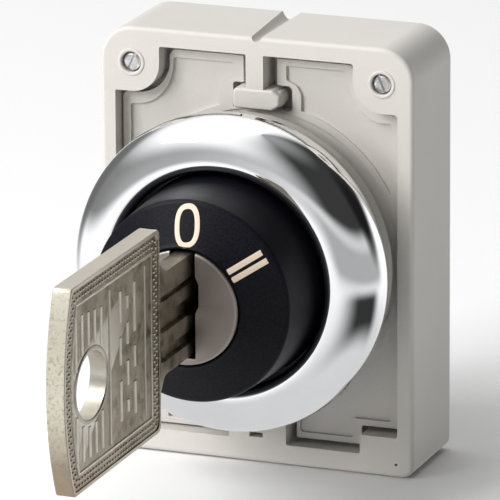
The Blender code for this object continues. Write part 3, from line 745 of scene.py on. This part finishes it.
# ------------------------------------------------------------------ key
BOW_F0, BOW_F1, BOW_T, BOW_B = 25.4, 47.0, 9.3, -9.1
BLADE_T, BLADE_B, TIP = 5.0, -4.3, -1.5
PIN_F = (12.6, 9.6, 6.6, 3.6, 0.6)
KX = 0.85      # half thickness of the raised detail
KS = 0.745     # half thickness of the bow's ground


def front_curve(z, inset=0.0):
    zc, h = (BOW_T + BOW_B) / 2, (BOW_T - BOW_B) / 2
    t = (z - zc) / h
    return BOW_F1 - 1.9 * t * t - inset


def key_loop(inset=0.0):
    """Key outline in side view, as (f, z)."""
    p = []
    top, bot = BOW_T - inset, BOW_B + inset
    for i in range(25):
        z = bot + (top - bot) * i / 24
        r = 0.5 if i in (0, 24) else 0
        p.append((front_curve(z, inset), z, r))
    b0 = BOW_F0 + inset
    p += [(b0, top, 0.7)]
    if inset:
        p += [(b0, bot, 0.7)]
        return fillet(p, 0, 5)
    p += [(b0, BLADE_T + 1.0, 0.4), (b0 - 1.5, BLADE_T, 1.2)]
    for k, f in enumerate(PIN_F):
        d = (0.5, 0.9, 0.3, 0.7, 0.4)[k]
        p += [(f + 1.1, BLADE_T, 0.1), (f + 0.5, BLADE_T - d, 0.15), (f - 0.5, BLADE_T - d, 0.15), (f - 1.1, BLADE_T, 0.1)]
    p += [(TIP + 0.9, BLADE_T - 0.2, 0.3), (TIP, BLADE_T - 2.0, 0.5), (TIP, BLADE_B + 2.0, 0.5), (TIP + 1.2, BLADE_B, 0.4)]
    p += [(b0 - 1.0, BLADE_B, 0.9), (b0, BLADE_B - 1.3, 0.3), (b0, bot, 0.7)]
    return fillet(p, 0, 5)


def yz_bm(loops, x0, x1):
    """A flat outline in (f, z), between x0 and x1."""
    m = Matrix(((0, 0, 1, 0), (-1, 0, 0, 0), (0, 1, 0, 0), (0, 0, 0, 1)))
    t = Matrix.Translation(((x0 + x1) / 2 * MM, 0, 0))
    return prism_bm(loops, x0, x1, t @ m)


def x_bevel(bm, xs, width, segments):
    bevel(bm, lambda a, b: any(abs(a[0] - x) < 1e-3 and abs(b[0] - x) < 1e-3 for x in xs), width, segments)


HF, HZ, HA, HB = 40.85, -0.3, 3.35, 2.9
hole = [(HF + HA * math.cos(2 * math.pi * i / 56), HZ + HB * math.sin(2 * math.pi * i / 56)) for i in range(56)]
bm = yz_bm([key_loop(), hole], -KX, KX)
x_bevel(bm, (-KX, KX), 0.13, 3)
key = to_object(bm, "key_fine", KEYM, weighted=False)

# sunk ground of the bow, inside a plain border, leaving the raised detail proud
ground = key_loop(0.36)
for s in (-1, 1):
    x0, x1 = (KS, 1.4) if s > 0 else (-1.4, -KS)
    apply_bool(key, to_object(yz_bm([ground], x0, x1), "c", KEYM, weighted=False))
# blade grooves
for s, z0, z1, d in ((1, 2.42, 3.02, 0.34), (1, -0.35, 1.20, 0.46), (1, -3.05, -1.85, 0.40),
                     (-1, 1.30, 2.55, 0.42), (-1, -1.90, -0.55, 0.42)):
    bm = bmesh.new()
    w = 0.14
    sec = [(KX - d, z0 + w), (KX - d, z1 - w), (KX + 0.3, z1 + 0.1), (KX + 0.3, z0 - 0.1)]
    rows = []
    for f in (-4.0, 24.6, 25.6):
        up = 0.0 if f < 25 else d + 0.1
        rows.append([bm.verts.new(P(s * (x + (up if x < KX else 0.0)), f, z)) for x, z in sec])
    for a, b in zip(rows, rows[1:]):
        for k in range(4):
            bm.faces.new((a[k], a[(k + 1) % 4], b[(k + 1) % 4], b[k]))
    bm.faces.new(rows[0]); bm.faces.new(rows[-1][::-1])
    apply_bool(key, to_object(bm, "c", KEYM, weighted=False))

details = []


def bar_yz(pts, width, height=None, close=False):
    """A raised rounded line on both faces of the bow, along pts (f, z)."""
    top = KX if height is None else height
    for s in (-1, 1):
        bm = bmesh.new()
        rows = []
        n = len(pts)
        for i in range(n):
            b = Vector(pts[i])
            if close:
                d0 = (b - Vector(pts[i - 1])).normalized(); d1 = (Vector(pts[(i + 1) % n]) - b).normalized()
            else:
                d0 = (b - Vector(pts[max(0, i - 1)])); d1 = (Vector(pts[min(n - 1, i + 1)]) - b)
                d0 = d0.normalized() if d0.length > 0 else d1.normalized()
                d1 = d1.normalized() if d1.length > 0 else d0
            t = (d0 + d1).normalized()
            nrm = Vector((-t.y, t.x))
            k = 1.0 / max(0.4, nrm.dot(Vector((-d1.y, d1.x))))
            row = []
            for u, h in ((-0.5, KS - 0.08), (-0.5, KS + 0.01), (-0.30, top - 0.012), (-0.14, top), (0.14, top), (0.30, top - 0.012), (0.5, KS + 0.01), (0.5, KS - 0.08)):
                q = b + nrm * (u * width * k)
                row.append(bm.verts.new(P(s * h, q.x, q.y)))
            rows.append(row)
        for i in range(n if close else n - 1):
            a, b2 = rows[i], rows[(i + 1) % n]
            for k in range(8):
                bm.faces.new((a[k], a[(k + 1) % 8], b2[(k + 1) % 8], b2[k]))
        if not close:
            bm.faces.new(rows[0]); bm.faces.new(rows[-1][::-1])
        details.append(to_object(bm, "d", KEYM, 50, weighted=False))


def arc_len(pts):
    out = [0.0]
    for a, b in zip(pts, pts[1:]):
        out.append(out[-1] + math.hypot(b[0] - a[0], b[1] - a[1]))
    return out


def along(pts, step, start=0.0):
    """Evenly spaced points along a polyline."""
    L = arc_len(pts)
    out = []
    d = start
    i = 0
    while d <= L[-1]:
        while i < len(L) - 2 and L[i + 1] < d:
            i += 1
        t = (d - L[i]) / max(1e-9, L[i + 1] - L[i])
        out.append((pts[i][0] + (pts[i + 1][0] - pts[i][0]) * t, pts[i][1] + (pts[i + 1][1] - pts[i][1]) * t))
        d += step
    return out


def studs(points, size):
    """Small raised four-sided studs with blunt tops, on both faces."""
    for s in (-1, 1):
        bm = bmesh.new()
        for f, z in points:
            lo = [bm.verts.new(P(s * (KS - 0.05), f + a * size, z + b * size)) for a, b in ((1, 0), (0, 1), (-1, 0), (0, -1))]
            hi = [bm.verts.new(P(s * (KX - 0.004), f + a * size * 0.36, z + b * size * 0.36)) for a, b in ((1, 0), (0, 1), (-1, 0), (0, -1))]
            for k in range(4):
                bm.faces.new((lo[k], lo[(k + 1) % 4], hi[(k + 1) % 4], hi[k]))
            bm.faces.new(hi)
            bm.faces.new(lo[::-1])
        details.append(to_object(bm, "d", KEYM, 20, weighted=False))


# double rows of studs round the border
for k, ins in enumerate((0.72, 1.22)):
    loop = key_loop(ins)
    studs(along(loop + loop[:1], 0.62, 0.31 * k), 0.235)

# raised frame line inside the studs
fr_rear = BOW_F0 + 1.95
fr_top, fr_bot = BOW_T - 1.85, BOW_B + 1.75
line = [(front_curve(fr_bot + (fr_top - fr_bot) * i / 14, 1.85), fr_bot + (fr_top - fr_bot) * i / 14) for i in range(15)]
bar_yz([(p[0], p[1]) for p in line] + [(fr_rear, fr_top), (fr_rear, fr_bot)], 0.30, close=True)

# upright ribs in the front half, broken by the key ring hole
for i, f in enumerate((44.15, 42.75, 41.35, 39.95, 38.55)):
    zt = min(fr_top - 0.9, 6.6) - 0.15 * i
    zb = fr_bot + 0.75
    dx = (f - HF) / (HA + 0.55)
    if abs(dx) < 1:
        g = (HB + 0.55) * math.sqrt(1 - dx * dx)
        bar_yz([(f, zt), (f, (zt + HZ + g) / 2), (f, HZ + g + 0.15)], 0.62, KX - 0.015)
        bar_yz([(f, HZ - g - 0.15), (f, (zb + HZ - g) / 2), (f, zb)], 0.62, KX - 0.015)
    else:
        bar_yz([(f, zt), (f, 0), (f, zb)], 0.62, KX - 0.015)
bar_yz([(36.75, fr_top - 0.55), (36.75, 0), (36.75, fr_bot + 0.5)], 0.42)

# plain ornament in the rear half: three columns of upright dashes, staggered
for f, runs in ((34.3, ((6.1, 3.3), (2.0, -0.5), (-1.9, -5.5))),
                (32.7, ((5.3, 4.2), (2.9, 1.0), (-0.5, -2.7), (-4.0, -5.1))),
                (31.1, ((6.1, 1.7), (0.4, -1.5), (-2.8, -5.7)))):
    for a, b in runs:
        bar_yz([(f, a), (f, (a + b) / 2), (f, b)], 0.62, KX - 0.01)
bar_yz([(28.75, fr_bot + 0.6), (28.75, 0.0), (28.75, fr_top - 0.6)], 0.26, KX - 0.03)

# rolled lip round the key ring hole
lip = [(HF + (HA + 0.28) * math.cos(2 * math.pi * i / 64), HZ + (HB + 0.28) * math.sin(2 * math.pi * i / 64)) for i in range(64)]
bar_yz(lip, 0.36, KX, close=True)

key = join("key_fine_all", [key] + details)
key.data.materials.append(KEY_END)
for p in key.data.polygons:
    if p.normal.y < -0.80 and p.center.y < -0.0440 and abs(p.center.x) < 0.00080:
        p.material_index = 1
piece(key, "key", "key_metal", "key")

# ------------------------------------------------------------------ rear cover
bm = prism_bm([rounded_rect(-13.6, 13.6, -18.4, 18.7, 1.8, 0.4, 8),
               arc(-5.2, 0, 1.42, 0, 360, 40)[:-1], arc(5.2, 0, 1.42, 0, 360, 40)[:-1],
               arc(-BX, BZ, 2.0, 0, 360, 28)[:-1] if False else [(-2.5, 13.2), (2.5, 13.2), (2.5, 14.6), (-2.5, 14.6)],
               [(-2.5, -14.6), (2.5, -14.6), (2.5, -13.2), (-2.5, -13.2)]], -8.95, -10.15)
plate_front(bm, -10.15, 0.16, 3)
cover = to_object(bm, "rear_cover_fine", INNER, weighted=False)
for s in (-1, 1):
    apply_bool(cover, to_object(lathe_bm([(0, -8), (2.0, -8), (2.0, -11), (0, -11)], 48, s * BX, BZ), "c", INNER, weighted=False))
    apply_bool(cover, to_object(lathe_bm([(0, -8), (0.85, -8), (0.85, -9.5), (1.6, -9.5), (1.6, -12), (0, -12)], 40, s * 11.5, -16.1), "c", INNER, weighted=False))
tidy(cover)
piece(cover, "body", "inner_grey", "rear_cover")

# ------------------------------------------------------------------ floor, light, camera
def stage_plane(name, size, z, mat):
    bm = bmesh.new()
    bmesh.ops.create_grid(bm, x_segments=8, y_segments=8, size=size)
    me = bpy.data.meshes.new(name)
    bm.to_mesh(me)
    bm.free()
    o = bpy.data.objects.new(name, me)
    o.location = (0, 0, z)
    C.objects.link(o)
    me.materials.append(mat)
    return o


FLOOR = new_mat("mat_floor", (0.93, 0.93, 0.93), 0.9)
fv = coords(FLOOR)
set_in(FLOOR, "Base Color", ramp(FLOOR, noise(FLOOR, fv, 3.0, 2), [(0.3, (0.925, 0.925, 0.925)), (0.7, (0.94, 0.94, 0.94))]))
floor = stage_plane("floor", 3.0, -0.01995, FLOOR)
floor.visible_glossy = False


def softbox(name, at, look, size, power, colour=(1, 1, 1), size_y=None):
    d = bpy.data.lights.new(name, "AREA")
    d.shape = "RECTANGLE"
    d.size = size
    d.size_y = size_y or size
    d.energy = power
    d.color = colour
    o = bpy.data.objects.new(name, d)
    o.location = at
    o.rotation_euler = (Vector(at) - Vector(look)).to_track_quat("Z", "Y").to_euler()
    C.objects.link(o)
    o.visible_glossy = False
    return o


softbox("key_light", (-0.46, -0.66, 0.40), (0, 0, 0), 0.36, 5.0)
softbox("sheen_light", (-0.46, -0.36, 0.68), (0, 0, 0), 0.36, 3.4).visible_glossy = True
softbox("top_light", (0.05, 0.10, 0.80), (0, 0, 0), 0.5, 0.7)

world = bpy.data.worlds.new("studio")
bpy.context.scene.world = world
world.use_nodes = True
W = world.node_tree
for n in list(W.nodes):
    W.nodes.remove(n)


def wn(kind, **props):
    n = W.nodes.new(kind)
    for k, v in props.items():
        setattr(n, k, v)
    return n


out = wn("ShaderNodeOutputWorld")
bg = wn("ShaderNodeBackground")
tc = wn("ShaderNodeTexCoord")
nrm = wn("ShaderNodeVectorMath", operation="NORMALIZE")
W.links.new(tc.outputs["Generated"], nrm.inputs[0])


def patch(prev, direction, inner, outer, value):
    """Blends a soft round patch of the studio, seen in that direction, over what is there."""
    d = Vector(direction).normalized()
    dot = wn("ShaderNodeVectorMath", operation="DOT_PRODUCT")
    dot.inputs[1].default_value = d
    W.links.new(nrm.outputs[0], dot.inputs[0])
    r = wn("ShaderNodeMapRange")
    r.interpolation_type = "SMOOTHSTEP"
    r.inputs["From Min"].default_value = math.cos(math.radians(outer))
    r.inputs["From Max"].default_value = math.cos(math.radians(inner))
    W.links.new(dot.outputs["Value"], r.inputs["Value"])
    x = wn("ShaderNodeMix", data_type="FLOAT")
    W.links.new(r.outputs["Result"], x.inputs[0])
    if isinstance(prev, float):
        x.inputs[2].default_value = prev
    else:
        W.links.new(prev, x.inputs[2])
    x.inputs[3].default_value = value
    return x.outputs[0]


# what the polished surfaces see of the studio, by elevation and azimuth in
# degrees, azimuth 0 straight in front and growing to the right
sep = wn("ShaderNodeSeparateXYZ")
W.links.new(nrm.outputs[0], sep.inputs[0])


def op(kind, a, b=None):
    n = wn("ShaderNodeMath", operation=kind)
    for k, v in enumerate((a, b)):
        if isinstance(v, (int, float)):
            n.inputs[k].default_value = v
        elif v is not None:
            W.links.new(v, n.inputs[k])
    return n.outputs[0]


def smooth(src, lo, hi, a=0.0, b=1.0):
    r = wn("ShaderNodeMapRange")
    r.interpolation_type = "SMOOTHSTEP"
    for k, v in (("From Min", lo), ("From Max", hi), ("To Min", a), ("To Max", b)):
        r.inputs[k].default_value = v
    W.links.new(src, r.inputs["Value"])
    return r.outputs["Result"]


def band(src, a, b, c, d):
    return op("MULTIPLY", smooth(src, a, b), smooth(src, c, d, 1.0, 0.0))


def blend_in(prev, mask, value):
    x = wn("ShaderNodeMix", data_type="FLOAT")
    for k, v in ((0, mask), (2, prev), (3, value)):
        if isinstance(v, float):
            x.inputs[k].default_value = v
        else:
            W.links.new(v, x.inputs[k])
    return x.outputs[0]


elev = op("MULTIPLY", op("ARCSINE", sep.outputs["Z"]), 57.2958)
azim = op("MULTIPLY", op("ARCTAN2", sep.outputs["X"], op("MULTIPLY", sep.outputs["Y"], -1.0)), 57.2958)

# floor, then ceiling
seen = smooth(elev, -34, -8, 0.70, 1.16)
# grey wall on the left
left_tone = smooth(azim, -85, -15, 0.24, 0.46)
seen = blend_in(seen, op("MULTIPLY", band(elev, -9, 1, 16, 44), band(azim, -165, -140, -30, 20)), left_tone)
seen = patch(seen, (-0.88, 0.42, 0.10), 6, 28, 0.16)
# pale strip at eye height on the right, dark above and below it
side = band(azim, -14, 14, 118, 150)
seen = blend_in(seen, op("MULTIPLY", side, band(elev, -17, -9, 2, 14)), 0.44)
seen = blend_in(seen, op("MULTIPLY", band(azim, -30, 34, 150, 178), smooth(elev, 4, 19)), smooth(elev, 52, 88, 0.042, 0.36))
seen = patch(seen, (0.80, 0.46, 0.36), 8, 30, 0.012)
seen = blend_in(seen, op("MULTIPLY", band(azim, -4, 56, 96, 132), band(elev, -47, -30, -20, -12)), 0.035)
lp = wn("ShaderNodeLightPath")
sw = wn("ShaderNodeMix", data_type="FLOAT")
W.links.new(lp.outputs["Is Glossy Ray"], sw.inputs[0])
W.links.new(smooth(sep.outputs["X"], -0.5, 0.70, 0.74, 0.08), sw.inputs[2])
W.links.new(seen, sw.inputs[3])
cam_sw = wn("ShaderNodeMix", data_type="FLOAT")
W.links.new(lp.outputs["Is Camera Ray"], cam_sw.inputs[0])
W.links.new(sw.outputs[0], cam_sw.inputs[2])
cam_sw.inputs[3].default_value = 1.0
W.links.new(cam_sw.outputs[0], bg.inputs["Strength"])
bg.inputs["Color"].default_value = (1, 1, 1, 1)
W.links.new(bg.outputs[0], out.inputs[0])

bpy.context.scene.view_settings.view_transform = "Standard"
bpy.context.scene.view_settings.look = "None"

az, el, roll = math.radians(21.17), math.radians(16.18), math.radians(-0.3626)
dist, scale, tx, ty = 38.39, 166.16, 256.50, 253.36
back = Vector((math.sin(az) * math.cos(el), -math.cos(az) * math.cos(el), math.sin(el)))
right = Vector((math.cos(az), math.sin(az), 0))
up = back.cross(right)
R = right * math.cos(roll) + up * math.sin(roll)
U = -right * math.sin(roll) + up * math.cos(roll)
ox, oy = (tx - 250) / scale, -(ty - 250) / scale
eye = (back * dist - R * ox - U * oy) * 0.015
cam = bpy.data.cameras.new("camera")
cam.sensor_width = 36
cam.lens = scale * dist * 36 / 500
cam.clip_start = 0.01
co = bpy.data.objects.new("camera", cam)
co.matrix_world = Matrix(((R.x, U.x, back.x, eye.x), (R.y, U.y, back.y, eye.y), (R.z, U.z, back.z, eye.z), (0, 0, 0, 1)))
C.objects.link(co)
bpy.context.scene.camera = co
